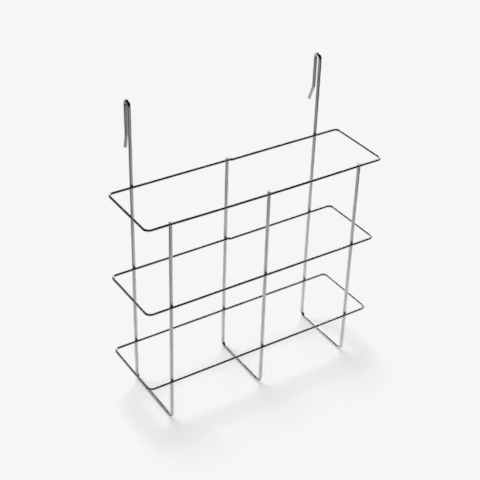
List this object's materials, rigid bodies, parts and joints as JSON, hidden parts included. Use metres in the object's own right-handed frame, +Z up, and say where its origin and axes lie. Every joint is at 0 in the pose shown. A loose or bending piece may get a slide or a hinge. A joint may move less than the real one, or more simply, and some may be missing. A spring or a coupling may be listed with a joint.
{
  "type": "hanging wire basket",
  "caption": "Narrow open wire basket: flat wire rings welded to upright U frames, the outer frames rising into folded hooks that hang on a mesh panel, rail or board edge.",
  "frame": {"origin": "centre of the footprint box, on the surface that the frames' bottom runs rest on", "axes": "+X along the width, +Y towards the wall that the hooks hang on, +Z up"},
  "size_m": [0.3148, 0.1094, 0.3781],
  "materials": {
    "ring_wire": "polished",
    "frame_wire": "polished",
    "weld_metal": "plated over weld"
  },
  "bodies": {
    "root": {"bottom_ring": "ring_wire", "middle_ring": "ring_wire", "top_ring": "ring_wire", "left_hook_frame": "frame_wire", "centre_frame": "frame_wire", "right_hook_frame": "frame_wire", "bottom_ring_butt_weld": "weld_metal", "middle_ring_butt_weld": "weld_metal", "top_ring_butt_weld": "weld_metal", "weld_bottom_left_front": "weld_metal", "weld_bottom_left_back": "weld_metal", "weld_bottom_centre_front": "weld_metal", "weld_bottom_centre_back": "weld_metal", "weld_bottom_right_front": "weld_metal", "weld_bottom_right_back": "weld_metal", "weld_middle_left_front": "weld_metal", "weld_middle_left_back": "weld_metal", "weld_middle_centre_front": "weld_metal", "weld_middle_centre_back": "weld_metal", "weld_middle_right_front": "weld_metal", "weld_middle_right_back": "weld_metal", "weld_top_left_front": "weld_metal", "weld_top_left_back": "weld_metal", "weld_top_centre_front": "weld_metal", "weld_top_centre_back": "weld_metal", "weld_top_right_front": "weld_metal", "weld_top_right_back": "weld_metal"}
  },
  "joints": []
}
